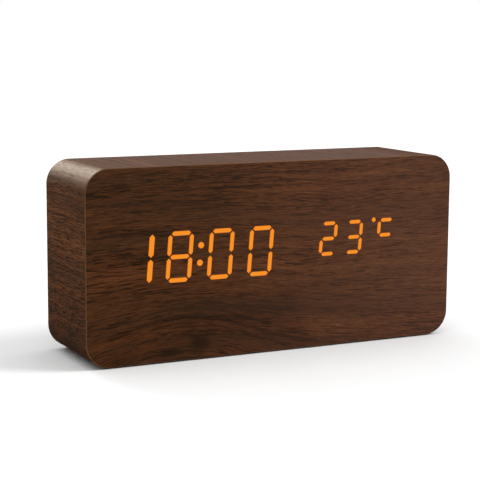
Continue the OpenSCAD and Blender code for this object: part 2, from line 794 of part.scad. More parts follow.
// Sheet-metal plates behind the cells' ends: some join two cells
module battery_contacts() {
    plate = cell_d - 2;
    color([0.80, 0.78, 0.72]) translate([box_x, 0, 0]) {
        for (i = [0:cell_count - 1], side = [-1, 1])
            translate([side * (plate_x + plate_t / 2), 0, 0])
                block(0, cell_z(i), plate_t, plate, cell_y - plate / 2, cell_y + plate / 2);
        for (i = [0:cell_count - 2]) translate([cell_side(i) * (plate_x + plate_t / 2), 0, 0])
            block(0, (cell_z(i) + cell_z(i + 1)) / 2, plate_t, cell_d, cell_y - 2, cell_y + 2);
        for (i = [0:cell_count - 1]) translate([cell_side(i) * cell_l / 2, cell_y, cell_z(i)])
            rotate([0, 90 * cell_side(i), 0]) translate([0, 0, 0.05])
                cylinder(r1 = 1.2, r2 = 2.2, h = plate_x - cell_l / 2 - 0.04);
    }
}

// ---- main board ----

module main_board() {
    color([0.05, 0.30, 0.16]) difference() {
        block(main_x, main_z, main_w, main_h, main_front_y, main_rear_y);
        at_spacers() bar(0, 0, BOARD_SCREW[2] + screw_gap, main_front_y - eps, main_rear_y + eps);
    }
}

module board_spacers() {
    color([0.90, 0.90, 0.88]) at_spacers() difference() {
        bar(0, 0, spacer_r, main_rear_y, panel_y);
        bar(0, 0, BOARD_SCREW[2] + screw_gap, main_rear_y - eps, panel_y + eps);
    }
}

module board_screws() {
    color("silver") at_spacers() translate([0, main_front_y, 0]) rotate([0, 0, 180])
        screw(BOARD_SCREW);
}

// A cap with a flange that keeps it behind the panel
module button_cap(i) {
    top_y = panel_rear_y + button_out;
    color([0.05, 0.05, 0.06]) at_button(i) {
        bar(0, 0, button_r, cap_y, top_y - 0.3);
        translate([0, top_y - 0.3, 0]) rotate([-90, 0, 0])
            cylinder(r1 = button_r, r2 = button_r - 0.4, h = 0.3);
        bar(0, 0, button_r + 1, panel_y - cap_flange_gap - cap_flange_t,
            panel_y - cap_flange_gap);
    }
}

module plunger(i) {
    color([0.12, 0.12, 0.12]) at_button(i)
        bar(0, 0, plunger_r, main_rear_y + switch_h - plunger_in, cap_y);
}

module switch_bodies() {
    color([0.10, 0.10, 0.11]) for (i = [0:2]) at_button(i) difference() {
        block(0, 0, 6, 6, main_rear_y, main_rear_y + switch_h - 0.3);
        bar(0, 0, plunger_r + 0.1, main_rear_y + switch_h - plunger_in - button_travel - 0.3,
            main_rear_y + switch_h);
    }
}

module switch_frames() {
    color("silver") for (i = [0:2]) at_button(i) difference() {
        block(0, 0, 6, 6, main_rear_y + switch_h - 0.3, main_rear_y + switch_h);
        bar(0, 0, plunger_r + 0.1, main_rear_y + switch_h - 1, main_rear_y + switch_h + eps);
    }
}

module power_jack() {
    color([0.06, 0.06, 0.07]) translate([main_x + jack_at[0], 0, main_z + jack_at[1]])
        difference() {
            block(0, 0, jack_w, jack_w, main_rear_y, main_rear_y + jack_l);
            bar(0, 0, jack_bore_r, main_rear_y + 1.2, main_rear_y + jack_l + eps);
        }
}

module power_jack_pin() {
    color("silver") translate([main_x + jack_at[0], 0, main_z + jack_at[1]])
        bar(0, 0, jack_pin_r, main_rear_y + 1.2, main_rear_y + jack_l - 1.2);
}

module buzzer() {
    color([0.09, 0.09, 0.10]) translate([main_x + buzzer_at[0], 0, main_z + buzzer_at[1]])
        difference() {
            bar(0, 0, 6, main_rear_y, main_rear_y + spacer_l - 1.5);
            bar(0, 0, 1, main_rear_y + 1, main_rear_y + spacer_l);
        }
}

module microphone() {
    color("silver") translate([main_x + mic_at[0], 0, main_z + mic_at[1]]) difference() {
        bar(0, 0, 3, main_rear_y, main_rear_y + 5);
        bar(0, 0, 2.4, main_rear_y + 4.7, main_rear_y + 6);
    }
}

// A bead on two leads, near the lower vent
module thermistor() {
    at = [main_x + vent_at[0], main_z + vent_at[1]];
    color([0.10, 0.10, 0.35]) translate([at[0], main_rear_y + 5.4, at[1]]) sphere(r = 1.2);
    color("silver") for (side = [-1, 1])
        bar(at[0] + side * 0.7, at[1], 0.25, main_rear_y, main_rear_y + 5);
}

CONTROLLER = [18, 7.5, 2.3];
controller_at = [9, 10];

module controller() {
    color([0.08, 0.08, 0.09]) chip_body(main_x + controller_at[0], main_z + controller_at[1],
        CONTROLLER, main_front_y, -1);
}

module controller_pins() {
    color("silver") chip_pins(main_x + controller_at[0], main_z + controller_at[1], CONTROLLER,
        main_front_y, -1, 14);
}

module crystal() {
    color("silver") translate([main_x - 6, main_front_y - 1.1, main_z + 8]) cylinder(r = 1, h = 6);
}

// Two upright electrolytic capacitors
module capacitors() {
    color([0.10, 0.12, 0.30]) for (z = [-4, -12])
        bar(main_x - main_w / 2 + 8, main_z + z, 2.5, main_front_y - 7, main_front_y);
}

// Small resistors and capacitors in two rows
module chip_parts() {
    color([0.55, 0.45, 0.35]) for (i = [0:3], row = [0, 1])
        block(main_x - 13 + 3.2 * i, main_z - 4 - 8 * row, 1.25, 2, main_front_y - 0.5,
            main_front_y);
}

memory_at = [14, -9];
memory_r = 10;

module memory_cell() {
    color([0.80, 0.80, 0.78]) bar(main_x + memory_at[0], main_z + memory_at[1], memory_r,
        main_front_y - 4.4, main_front_y - 1.2);
}

module memory_cell_holder() {
    color([0.10, 0.10, 0.10]) translate([main_x + memory_at[0], 0, main_z + memory_at[1]])
        difference() {
            bar(0, 0, memory_r + 1.4, main_front_y - 3.8, main_front_y);
            bar(0, 0, memory_r + 0.1, main_front_y - 5, main_front_y - 1.2);
        }
}

module main_socket() {
    color([0.90, 0.88, 0.80])
        block(socket_x, main_socket_z, SOCKET[0], SOCKET[1], main_front_y - SOCKET[2], main_front_y);
}

// ---- inner leads ----

// A smooth S between a and b that leaves and arrives level
function s_curve(a, b, n) = [for (i = [0:n]) let (t = i / n, s = t * t * (3 - 2 * t))
    [a[0] + (b[0] - a[0]) * t, a[1] + (b[1] - a[1]) * s]];

module display_ribbon() {
    path = s_curve([display_rear_y + SOCKET[2], display_socket_z],
        [main_front_y - SOCKET[2], main_socket_z], 16);
    half = 0.45;
    color([0.75, 0.75, 0.78]) translate([socket_x - 5, 0, 0]) rotate([90, 0, 90])
        linear_extrude(10) polygon(concat([for (p = path) p + [0, half]],
            [for (i = [len(path) - 1:-1:0]) path[i] - [0, half]]));
}

// A cubic curve's place and direction at t, for four control points
function curve(p, t) = pow(1 - t, 3) * p[0] + 3 * t * pow(1 - t, 2) * p[1]
    + 3 * t * t * (1 - t) * p[2] + pow(t, 3) * p[3];
function curve_dir(p, t) = let (d = pow(1 - t, 2) * (p[1] - p[0])
    + 2 * t * (1 - t) * (p[2] - p[1]) + t * t * (p[3] - p[2])) d / norm(d);

// A lead from the battery box's side to the front of the main board
module battery_lead(z) {
    start = [box_x + bay_w / 2 + box_wall, box_y + 4, z];
    end = [main_x - main_w / 2 + 3, main_front_y, z - 3];
    p = [start, start + [5, 0, 0], end - [0, 8, 0], end];
    n = 20;
    tube([for (i = [0:n]) curve(p, i / n)], [for (i = [0:n]) curve_dir(p, i / n)], 0.6, [0, 0, 1]);
}

module battery_lead_red() {
    color([0.70, 0.05, 0.05]) battery_lead(mid_z + 12);
}

module battery_lead_black() {
    color([0.05, 0.05, 0.05]) battery_lead(mid_z + 8);
}

case_shell();
front_board();
front_veneer();
side_veneer();
rear_veneer();
base_pads();
time_digits_lit();
colon_lit();
temperature_digits_lit();
degree_c_lit();
time_light_guides();
temperature_light_guides();
diffuser_sheet();
time_light_box();
temperature_light_box();
display_board();
display_leds();
display_drivers();
display_driver_pins();
display_socket();
display_screws();
rear_panel();
panel_screws();
battery_box();
battery_door();
battery_cell(0);  // battery_cell_1
battery_cell(1);  // battery_cell_2
battery_cell(2);  // battery_cell_3
battery_springs();
battery_contacts();
main_board();
board_spacers();
board_screws();
button_cap(0);  // set_button
button_cap(1);  // up_button
button_cap(2);  // down_button
switch_bodies();
switch_frames();
plunger(0);  // set_plunger
plunger(1);  // up_plunger
plunger(2);  // down_plunger
power_jack();
power_jack_pin();
buzzer();
microphone();
thermistor();
controller();
controller_pins();
crystal();
capacitors();
chip_parts();
memory_cell();
memory_cell_holder();
main_socket();
display_ribbon();
battery_lead_red();
battery_lead_black();
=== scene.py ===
import math

import bmesh
import bpy
import numpy as np
from mathutils import Matrix, Vector


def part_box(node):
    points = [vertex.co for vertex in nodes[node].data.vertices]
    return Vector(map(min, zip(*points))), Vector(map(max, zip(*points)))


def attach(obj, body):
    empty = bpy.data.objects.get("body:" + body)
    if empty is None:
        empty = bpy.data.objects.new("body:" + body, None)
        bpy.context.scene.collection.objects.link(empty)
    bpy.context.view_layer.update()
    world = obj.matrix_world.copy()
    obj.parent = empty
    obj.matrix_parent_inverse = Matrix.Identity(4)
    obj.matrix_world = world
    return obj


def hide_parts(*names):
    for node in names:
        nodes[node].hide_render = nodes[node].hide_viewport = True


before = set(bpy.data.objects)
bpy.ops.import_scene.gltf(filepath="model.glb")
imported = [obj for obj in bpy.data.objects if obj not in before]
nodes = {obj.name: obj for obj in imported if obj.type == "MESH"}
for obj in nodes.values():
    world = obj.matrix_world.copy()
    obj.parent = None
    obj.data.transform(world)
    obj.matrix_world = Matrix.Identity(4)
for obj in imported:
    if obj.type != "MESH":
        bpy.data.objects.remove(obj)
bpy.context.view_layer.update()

scene = bpy.context.scene


# ---- camera ----
# A long lens stands to the left of the display and a little above it, far enough off for a
# gentle perspective. It is turned a third of a degree about its own axis.
aim, stand_off = Vector((-0.005717, 0.0, 0.039252)), 0.543655
bearing, height, tilt = math.radians(-26.694), math.radians(8.511), math.radians(0.338)
backward = Vector((math.sin(bearing) * math.cos(height),
                   -math.cos(bearing) * math.cos(height), math.sin(height)))
level = Vector((math.cos(bearing), math.sin(bearing), 0.0))
upward = backward.cross(level)
camera = bpy.data.objects.new("camera", bpy.data.cameras.new("camera"))
camera.data.lens, camera.data.sensor_width = 108.4, 36.0
camera.data.clip_start, camera.data.clip_end = 0.01, 20.0
camera_turn = Matrix((level * math.cos(tilt) + upward * math.sin(tilt),
                      upward * math.cos(tilt) - level * math.sin(tilt), backward)).transposed()
camera.matrix_world = Matrix.Translation(aim + backward * stand_off) @ camera_turn.to_4x4()
scene.collection.objects.link(camera)
scene.camera = camera


# ---- floor and studio light ----
# A seamless pale studio table, painted matt. A wide lamp hangs over it, a smaller one stands
# to the right, and one low behind. A strip lamp behind only shines in the film's polish.
class Finish:
    """A material, built up a node at a time. Its lengths are millimetres on Object coordinates."""

    def __init__(self, name):
        self.material = bpy.data.materials.new(name)
        self.material.use_nodes = True
        self.tree = self.material.node_tree
        self.shader = next(n for n in self.tree.nodes if n.type == "BSDF_PRINCIPLED")
        self.spot = self.step("TexCoord", {}, "Object")

    def step(self, kind, inputs, output=0, **settings):
        """A node of that kind with its settings and inputs; gives one of its outputs."""
        node = self.tree.nodes.new("ShaderNode" + kind)
        for key, value in settings.items():
            setattr(node, key, value)
        for key, value in inputs.items():
            self.feed(node.inputs[key], value)
        return node.outputs[output]

    def feed(self, socket, value):
        """Links a socket to another, or sets it to a plain value."""
        if isinstance(value, bpy.types.NodeSocket):
            self.tree.links.new(value, socket)
        else:
            socket.default_value = value

    def place(self, scale=(1, 1, 1), shift=(0, 0, 0)):
        """The place on the piece in millimetres, stretched and shifted."""
        return self.step("Mapping", {"Vector": self.spot, "Scale": [1000 * s for s in scale],
                                     "Location": shift})

    def sum(self, kind, a, b=0.0, c=0.0, clamp=False):
        """The arithmetic of that kind on one, two or three values."""
        return self.step("Math", {0: a, 1: b, 2: c}, operation=kind, use_clamp=clamp)

    def axes(self, vector):
        """The x, y and z of a vector."""
        apart = self.step("SeparateXYZ", {0: vector}).node
        return [apart.outputs[i] for i in range(3)]

    def point(self, x, y, z):
        """A vector made of those three."""
        return self.step("CombineXYZ", {0: x, 1: y, 2: z})

    def facing(self):
        """The x, y and z of the direction that the flat face looks in."""
        return self.axes(self.step("NewGeometry", {}, "True Normal"))

    def noise(self, where, detail=2.0, rough=0.5, scale=1.0):
        """Cloudy noise from 0 to 1, with scale lumps to the millimetre."""
        return self.step("TexNoise", {"Vector": where, "Scale": scale, "Detail": detail,
                                      "Roughness": rough})

    def cells(self, where, scale):
        """The distance to the nearest of scattered points, scale of them to the millimetre."""
        return self.step("TexVoronoi", {"Vector": where, "Scale": scale}, "Distance")

    def within(self, value, low, high, out_low=0.0, out_high=1.0):
        """Goes smoothly from out_low to out_high as the value goes from low to high."""
        return self.step("MapRange", {"Value": value, "From Min": low, "From Max": high,
                                      "To Min": out_low, "To Max": out_high},
                         interpolation_type="SMOOTHSTEP")

    def blend(self, share, a, b):
        """Colour a, with colour b over it by that share."""
        # sockets 6, 7 and 2 are the Mix node's two colours and the colour it gives
        colours = [(*c, 1.0) if isinstance(c, tuple) else c for c in (a, b)]
        return self.step("Mix", {0: share, 6: colours[0], 7: colours[1]}, 2, data_type="RGBA")

    def ramp(self, share, stops):
        """A colour for each share, from a list of (share, colour)."""
        colour = self.step("ValToRGB", {0: share})
        bar = colour.node.color_ramp
        while len(bar.elements) < len(stops):
            bar.elements.new(0.5)
        for element, (at, value) in zip(bar.elements, stops):
            element.position, element.color = at, (*value, 1.0)
        return colour

    def bump(self, depth, millimetres):
        """A relief that stands out by that much where depth is one."""
        return self.step("Bump", {"Height": depth, "Distance": millimetres / 1000})

    def wear(self, **sockets):
        """Feeds the shader, its sockets by name with _ for a space, and gives the material."""
        for key, value in sockets.items():
            socket = self.shader.inputs[key.replace("_", " ")]
            if socket.type == "RGBA" and isinstance(value, tuple):
                value = (*value, 1.0)
            self.feed(socket, value)
        return self.material


def mesh_piece(name, verts, faces, finish):
    """A smooth-shaded object at the origin, made of points in metres."""
    mesh = bpy.data.meshes.new(name)
    mesh.from_pydata(np.asarray(verts, float).tolist(), [], faces)
    mesh.shade_smooth()
    mesh.update()
    mesh.materials.append(finish)
    piece = bpy.data.objects.new(name, mesh)
    scene.collection.objects.link(piece)
    return piece


def table_top(radius, rings, spokes):
    """A disc: point (i, k) lies at radius times (i / rings) squared, at the angle of spoke k."""
    reach = radius * (np.arange(rings + 1) / rings) ** 2
    angle = 2 * np.pi * np.arange(spokes) / spokes
    x, y = np.outer(reach[1:], np.cos(angle)).ravel(), np.outer(reach[1:], np.sin(angle)).ravel()
    verts = np.vstack([[0.0, 0.0, 0.0], np.column_stack([x, y, np.zeros(x.size)])])
    k = np.arange(spokes)
    following = (k + 1) % spokes
    i = 1 + np.arange(rings - 1)[:, None] * spokes
    quads = np.stack([i + k, i + spokes + k, i + spokes + following, i + following], -1)
    middle = np.column_stack([np.zeros_like(k), 1 + k, 1 + following])
    return verts, middle.tolist() + quads.reshape(-1, 4).tolist()


table_paint = Finish("table_paint")
mottle = table_paint.noise(table_paint.place((0.02, 0.02, 0.02)), detail=3.0)
table_paint.wear(
    Base_Color=table_paint.ramp(mottle, [(0.3, (0.768, 0.768, 0.768)),
                                         (0.7, (0.788, 0.788, 0.788))]),
    Roughness=0.8, Specular_IOR_Level=0.1,
    Normal=table_paint.bump(table_paint.noise(table_paint.place((0.6, 0.6, 0.6))), 0.01))
table = mesh_piece("table", *table_top(radius=4.0, rings=24, spokes=72), table_paint.material)


def lamp(name, towards, spread, strength, tint=(1.0, 1.0, 1.0)):
    """A distant lamp in that direction, whose disc is that many degrees across."""
    light = bpy.data.lights.new(name, "SUN")
    light.energy, light.angle, light.color = strength, math.radians(spread), tint
    holder = bpy.data.objects.new(name, light)
    holder.matrix_world = Vector(towards).to_track_quat("Z", "Y").to_matrix().to_4x4()
    scene.collection.objects.link(holder)
    return holder


lamp("overhead_lamp", (-0.05, 0.02, 1.0), 100, 1.70)
lamp("right_lamp", (0.893, -0.449, 0.80), 24, 1.85)
lamp("rear_lamp", (-0.12, 0.884, 0.430), 15, 0.70)
strip_lamp = lamp("strip_lamp", (-0.17, 0.884, 0.42), 42, 6.2, (1.0, 0.88, 0.70))
strip_lamp.visible_diffuse = False

# white walls all round: they light the clock at half strength, and are plain white to see
studio = bpy.data.worlds.new("studio")
studio.use_nodes = True
walls = studio.node_tree
walls.nodes.clear()
choice = walls.nodes.new("ShaderNodeMixShader")
walls.links.new(walls.nodes.new("ShaderNodeLightPath").outputs["Is Camera Ray"], choice.inputs[0])
for socket, strength in ((1, 0.50), (2, 1.0)):
    wall = walls.nodes.new("ShaderNodeBackground")
    wall.inputs["Color"].default_value = (1.0, 1.0, 1.0, 1.0)
    wall.inputs["Strength"].default_value = strength
    walls.links.new(wall.outputs[0], choice.inputs[socket])
walls.links.new(choice.outputs[0], walls.nodes.new("ShaderNodeOutputWorld").inputs[0])
scene.world = studio
scene.view_settings.view_transform = "Standard"
scene.view_settings.look = "None"


# ---- walnut film ----
# A printed and embossed walnut-grain film, satin, glued over the boards: one sheet on the
# front, one band round the top, sides and bottom, a ring on the rear rim, and the rear panel.
# The ramp goes from the darkest pore to the palest streak.
WALNUT = [(0.00, (0.015, 0.0076, 0.0038)), (0.22, (0.034, 0.0134, 0.0058)),
          (0.45, (0.061, 0.0216, 0.0082)), (0.62, (0.084, 0.0294, 0.0108)),
          (0.80, (0.118, 0.0435, 0.0162)), (1.00, (0.174, 0.0700, 0.0280))]


def walnut_film(name, grain, across, figure, seed, contrast=1.0, painted=None):
    """Walnut grain that runs along the axis named grain and varies along the one named across.

    figure(finish, x, y, z) gives two values: the height that stands for the grain line a point
    is on, and a share by which the film is darker there: partly the wood's own tone, and partly
    painted shade and painted light. The floors of cuts that lie deeper than painted, in
    millimetres along y, are filled with pale paint. All lengths are millimetres, and all layers
    are noise stretched along the grain and added up to one tone.
    """
    f = Finish(name)
    x, y, z = f.axes(f.place())
    line, shade = figure(f, x, y, z)
    along = {"x": x, "y": y}[grain]
    # every grain line wanders slowly by up to 2 mm, and trembles by a sixth of a millimetre
    for lumps, detail, swing in ((0.017, 1.0, 4.5), (0.11, 2.0, 0.32)):
        drift = f.noise(f.point(along, line, seed), scale=lumps, detail=detail)
        line = f.sum("ADD", line, f.sum("MULTIPLY", f.sum("SUBTRACT", drift, 0.5), swing))
    through = f.sum("ADD", z if across == "x" else y, seed)

    def fibres(coarseness, fineness, detail, rough):
        """Noise with that many lumps to the millimetre along the grain and across it."""
        return f.noise(f.point(f.sum("MULTIPLY", along, coarseness),
                               f.sum("MULTIPLY", line, fineness),
                               f.sum("MULTIPLY", through, fineness)), detail=detail, rough=rough)

    bands = fibres(0.010, 0.11, 2.0, 0.5)
    streaks = fibres(0.020, 0.42, 3.0, 0.55)
    fine = fibres(0.14, 2.00, 3.0, 0.65)
    hairs = fibres(0.40, 4.0, 2.0, 0.6)
    pores = f.within(fibres(0.20, 2.40, 1.0, 0.5), 0.550, 0.585)
    veins = f.within(fibres(0.060, 1.60, 3.0, 0.6), 0.565, 0.605)
    # the pores are fainter in the paler streaks
    pores = f.sum("MULTIPLY", pores, f.within(streaks, 0.60, 0.42, 0.35, 1.0))
    tone = f.sum("MULTIPLY", f.sum("SUBTRACT", bands, 0.5), 0.50)
    for layer, weight in ((streaks, 0.66), (fine, 1.15), (hairs, 0.70)):
        tone = f.sum("ADD", tone, f.sum("MULTIPLY", f.sum("SUBTRACT", layer, 0.5), weight))
    for dark_line, weight in ((pores, 0.58), (veins, 0.34)):
        tone = f.sum("SUBTRACT", tone, f.sum("MULTIPLY", dark_line, weight))
    if across == "x":
        # the grain is printed fainter along the top
        contrast = f.within(z, 60.0, 69.5, contrast, 0.5 * contrast)
    middle_tone = 0.64
    tone = f.sum("SUBTRACT", f.sum("MULTIPLY_ADD", tone, contrast, middle_tone), shade)
    # some broad bands are duller
    dull = f.sum("MULTIPLY", f.sum("SUBTRACT", 1.0, f.within(bands, 0.30, 0.62)), 0.25)
    colour = f.blend(dull, f.ramp(tone, WALNUT), (0.056, 0.029, 0.015))
    # the film is painted a little paler and greyer from the left end to the right: a painted sheen
    # of the lamp on the right
    colour = f.blend(f.within(x, -62.0, 78.0, 0.0, 0.38), colour, (0.092, 0.046, 0.034))
    # the film is paler on the bevel where two sheets meet
    flat_y = f.facing()[1]
    squared = f.sum("POWER", f.sum("ABSOLUTE", flat_y), 2.0)
    slanting = f.within(f.sum("MULTIPLY", squared, f.sum("SUBTRACT", 1.0, squared)), 0.10, 0.24)
    colour = f.blend(f.sum("MULTIPLY", slanting, 0.38), colour, (0.23, 0.125, 0.065))
    if painted is not None:
        sunk = f.sum("MULTIPLY", f.sum("LESS_THAN", y, painted),
                     f.sum("GREATER_THAN", flat_y, 0.9))
        colour = f.blend(sunk, colour, (0.56, 0.52, 0.45))
    # hands and dusting polish the top, so the sides and the right end are duller
    dullness = f.sum("ADD", f.sum("MULTIPLY", pores, 0.10),
                     f.within(streaks, 0.3, 0.7, 0.42, 0.37))
    dullness = f.sum("ADD", dullness, f.within(z, 69.8, 59.0, 0.0, 0.52))
    dullness = f.sum("ADD", dullness, f.within(x, 50.0, 72.0, 0.0, 0.30))
    f.wear(Base_Color=colour, Roughness=dullness, Specular_IOR_Level=0.015,
           Specular_Tint=(1.0, 0.84, 0.66),
           Normal=f.bump(f.sum("SUBTRACT", f.sum("MULTIPLY", hairs, 0.5), pores), 0.006))
    return f.material


def front_figure(f, x, y, z):
    """The arched figure low on the left of the front, two knots in it, and darker lines."""
    width, foot = 150, 0.5
    share = f.sum("MULTIPLY_ADD", x, 1 / width, 0.5)
    z = f.sum("SUBTRACT", z, foot)

    def curve(points, low=-8.0, high=24.0):
        """A height for each x, smooth through the points, between low and high."""
        node = f.step("FloatCurve", {"Value": share}).node
        bend = node.mapping.curves[0]
        places = [((px + width / 2) / width, (pz - low) / (high - low)) for px, pz in points]
        bend.points[0].location, bend.points[1].location = places[0], places[-1]
        for place in places[1:-1]:
            bend.points.new(*place)
        node.mapping.update()
        return f.sum("MULTIPLY_ADD", node.outputs[0], high - low, low)

    def ridge(height, half, reach, strength):
        """Its full strength on a line at that height, nothing half a width off it or well
        outside its reach in x."""
        fade = 12
        off = f.sum("ABSOLUTE", f.sum("DIVIDE", f.sum("SUBTRACT", z, height), half))
        there = f.sum("MULTIPLY", f.within(x, reach[0] - fade, reach[0]),
                      f.within(x, reach[1] + fade, reach[1]))
        return f.sum("MULTIPLY", f.sum("MULTIPLY", f.within(off, 1.0, 0.0), there), strength)

    # the grain follows the arch low down, and runs straight again some 19 mm above it
    arch = curve([(-75, 6.5), (-60, 12), (-42, 15.6), (-28, 14.6), (-15, 11), (0, 6), (20, 1.5),
                  (45, -1.5), (75, -3.5)])
    above = f.sum("MAXIMUM", f.sum("SUBTRACT", z, 3.0), 0.0)
    fading = f.sum("EXPONENT", f.sum("MULTIPLY", above, -1 / 19))
    line = f.sum("SUBTRACT", z, f.sum("MULTIPLY", arch, fading))

    def knot(middle_x, middle_z, reach_x, reach_z):
        """One in the middle of an oval, fading as a bell curve past its reach."""
        away = [f.sum("POWER", f.sum("ABSOLUTE", f.sum("DIVIDE", f.sum("SUBTRACT", at, middle),
                                                       reach)), 2.0)
                for at, middle, reach in ((x, middle_x, reach_x), (z, middle_z, reach_z))]
        return f.sum("EXPONENT", f.sum("MULTIPLY", f.sum("ADD", *away), -1.0))

    # the lines bend round the two knots, which are dark in the middle
    knots = f.sum("ADD", knot(-31.5, 5.5, 3.6, 2.2), knot(-43.0, 3.4, 4.0, 1.3))
    line = f.sum("ADD", line, f.sum("MULTIPLY", knots, 3.0))
    second = curve([(-75, 10.5), (-50, 15), (-25, 18.5), (-10, 17), (20, 13.6), (50, 11),
                    (75, 9.5)])
    third = curve([(-75, 20), (-20, 23), (10, 21), (45, 15.2), (75, 13.5)])
    shade = f.sum("ADD", ridge(arch, 1.3, (-62, 18), 0.24), f.sum("MULTIPLY", knots, 0.50))
    # thin dark lines, and broad areas that are a little darker or paler; the paler area at the
    # right end is painted light from the lamp on the right
    for height, half, reach, strength in (
            (f.sum("ADD", arch, 3.2), 0.8, (-46, 6), 0.20),
            (f.sum("ADD", arch, -2.6), 0.7, (-20, 30), 0.20), (second, 3.0, (-12, 70), 0.15),
            (third, 0.9, (8, 44), 0.20), (61.3, 0.7, (-38, 8), 0.26),
            (57.0, 1.6, (-66, -30), 0.12), (45.0, 6.0, (-75, 10), 0.05),
            (62.0, 16.0, (-75, -20), 0.07), (14.0, 17.0, (-36, 4), 0.16),
            (22.0, 22.0, (42, 75), -0.10), (60.0, 18.0, (22, 75), 0.07)):
        shade = f.sum("ADD", shade, ridge(height, half, reach, strength))
    # the sheet is painted paler towards its right end, as painted light from the lamp on the
    # right, and darker towards its foot, as painted shade
    shade = f.sum("ADD", shade, f.within(share, 0.0, 1.0, 0.16, -0.09))
    shade = f.sum("ADD", shade, f.within(z, 32.0, 0.0, 0.0, 0.08))
    return line, shade


def side_figure(f, x, y, z):
    """Grain lines that slope low on the sides, which are painted darker towards their foot, as
    painted shade.
    """
    low_down, slope = f.within(z, 30.0, 5.0), 0.22
    line = f.sum("ADD", z, f.sum("MULTIPLY", f.sum("MULTIPLY", y, slope), low_down))
    return f.sum("ADD", line, x), f.within(z, 38.0, 2.0, 0.03, 0.27)


def rear_figure(f, x, y, z):
    """Long shallow arches, as a flat-sawn board shows: 5 mm of fall over 60 mm."""
    across = f.sum("ABSOLUTE", f.sum("DIVIDE", x, 60.0))
    bow = f.sum("MULTIPLY", f.sum("POWER", across, 2.0), -5.0)
    return f.sum("SUBTRACT", z, bow), f.within(z, 0.0, 70.0, 0.05, -0.02)


# the strip lamp makes the shine along the band's rounded upper edge, and lights only the band
film_band = bpy.data.collections.new("film_band")
film_band.objects.link(nodes["side_veneer"])
strip_lamp.light_linking.receiver_collection = film_band


def clad(finish, *names):
    """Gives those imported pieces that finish."""
    for name in names:
        for slot in nodes[name].material_slots:
            slot.material = finish


clad(walnut_film("walnut_front", "x", "z", front_figure, seed=11.0, contrast=0.82), "front_veneer")
clad(walnut_film("walnut_band", "y", "x", side_figure, seed=37.0, contrast=1.1), "side_veneer")
clad(walnut_film("walnut_rear", "x", "z", rear_figure, seed=53.0, contrast=0.75), "rear_veneer")
# the signs under the buttons are cut into the panel and filled in
panel_face, sign_depth = 1000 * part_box("rear_panel")[1].y, 0.15
clad(walnut_film("walnut_panel", "x", "z", rear_figure, seed=53.0, contrast=0.75,
                 painted=panel_face - sign_depth), "rear_panel")


# ---- lit display ----
# Where the display is lit, light comes through the film in sharp orange bars. Each bar is a
# little redder along its rim, where the light has gone through more of the film.
glow = Finish("orange_glow")
heart = glow.step("Attribute", {}, "Fac", attribute_name="heart")
cloud = glow.noise(glow.place((0.5, 0.5, 0.5)), detail=1.0)
uneven = glow.sum("MULTIPLY", glow.sum("SUBTRACT", cloud, 0.5), 0.1)
heart = glow.sum("ADD", heart, uneven, clamp=True)
glow_colour = glow.ramp(heart, [(0.0, (0.26, 0.042, 0.005)), (0.60, (0.83, 0.224, 0.010)),
                                (1.0, (0.88, 0.262, 0.011))])
glow.wear(Base_Color=glow.ramp(heart, [(0.0, (0.030, 0.008, 0.003)), (1.0, (0.05, 0.015, 0.003))]),
          Emission_Color=glow_colour, Emission_Strength=1.0, Roughness=0.5,
          Specular_IOR_Level=0.1)


def merged(name):
    """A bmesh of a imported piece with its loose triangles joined."""
    bm = bmesh.new()
    bm.from_mesh(nodes[name].data)
    bmesh.ops.remove_doubles(bm, verts=bm.verts, dist=1e-6)
    bmesh.ops.dissolve_limit(bm, angle_limit=math.radians(0.5), verts=bm.verts, edges=bm.edges)
    bmesh.ops.recalc_face_normals(bm, faces=bm.faces)
    return bm


def piece_of(bm, name, finish):
    """An object at the origin with that bmesh as its mesh."""
    mesh = bpy.data.meshes.new(name)
    bm.to_mesh(mesh)
    bm.free()
    mesh.materials.append(finish)
    piece = bpy.data.objects.new(name, mesh)
    scene.collection.objects.link(piece)
    return piece


def standing_for(piece, name, body):
    """The piece is shown in place of a packed one and moves with its body."""
    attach(piece, body)
    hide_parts(name)


def lit_bars(name, rim=0.00025):
    """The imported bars, with a rim of that width let into their front faces. The attribute
    heart is one inside the rim and nothing outside it."""
    bm = merged(name)
    fronts = [face for face in bm.faces if face.normal.y < -0.9]
    bmesh.ops.inset_region(bm, faces=fronts, thickness=rim, use_even_offset=True)
    bm.verts.index_update()
    inside = list({v.index for face in fronts if face.is_valid for v in face.verts})
    bmesh.ops.triangulate(bm, faces=bm.faces)
    piece = piece_of(bm, name + "_bars", glow.material)
    share = np.zeros(len(piece.data.vertices))
    share[inside] = 1.0
    piece.data.attributes.new("heart", "FLOAT", "POINT").data.foreach_set("value", share)
    standing_for(piece, name, "case")


for lit in ("time_digits_lit", "colon_lit", "temperature_digits_lit", "degree_c_lit"):
    lit_bars(lit)


# ---- case body and front board ----
# Medium-density fibreboard: a block milled out to a ring, and a thin board with the windows
# cut through it. Their sanded faces show fine pressed fibres and dark flecks.
mdf = Finish("mdf")
felted = mdf.noise(mdf.place((1.6, 1.6, 1.6)), detail=4.0, rough=0.65)
flecks = mdf.noise(mdf.place((2.5, 2.5, 2.5), (4.0, 1.0, 9.0)), detail=2.0)
flecks = mdf.within(flecks, 0.62, 0.72)
mdf_colour = mdf.ramp(felted, [(0.25, (0.40, 0.27, 0.165)), (0.5, (0.50, 0.355, 0.225)),
                               (0.75, (0.60, 0.44, 0.29))])
mdf_colour = mdf.blend(mdf.sum("MULTIPLY", flecks, 0.6), mdf_colour, (0.24, 0.15, 0.09))
